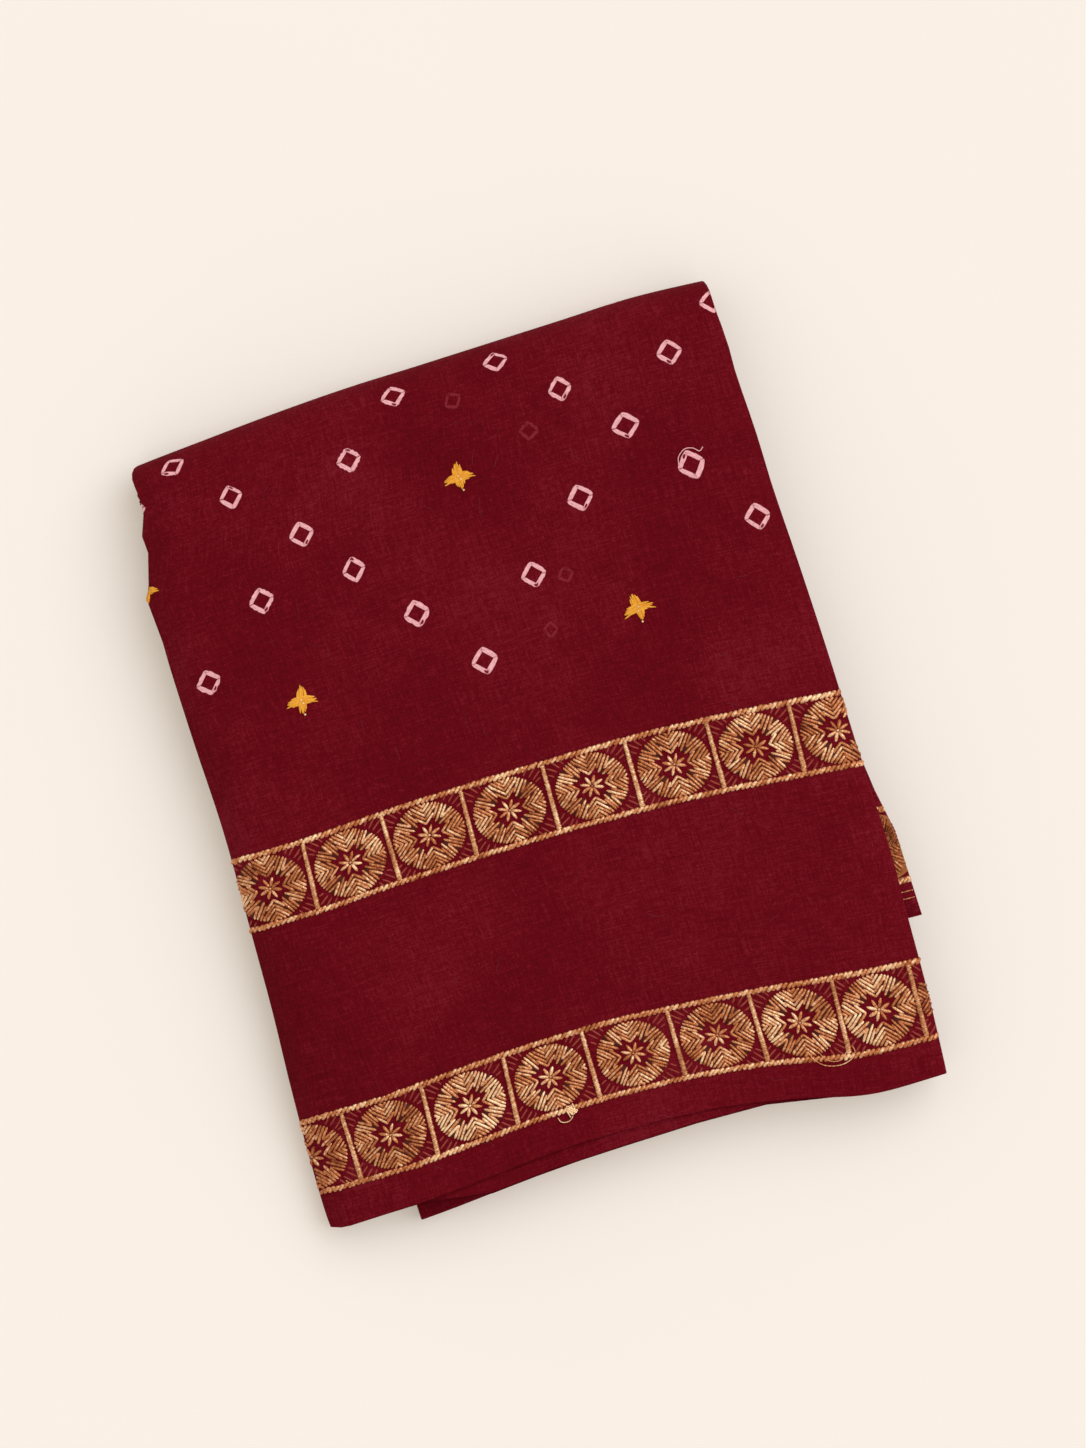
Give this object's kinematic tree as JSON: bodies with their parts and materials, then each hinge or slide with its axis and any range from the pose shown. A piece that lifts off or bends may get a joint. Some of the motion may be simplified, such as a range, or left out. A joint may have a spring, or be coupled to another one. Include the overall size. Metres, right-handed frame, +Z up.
{
  "type": "sungudi saree",
  "caption": "Maroon cotton saree folded flat into a rectangular stack of layers, with woven gold borders, tie-dyed rings and small embroidered stars.",
  "frame": {"origin": "middle of the folded stack's bounding box, at its base", "axes": "+X along the woven borders, +Y towards the thick back fold, +Z up from the surface it lies on"},
  "size_m": [0.2382, 0.3002, 0.0275],
  "materials": {
    "maroon_cotton": "woven maroon cotton with gold thread borders, matt"
  },
  "bodies": {
    "root": {"saree_cloth": "maroon_cotton"}
  },
  "joints": []
}
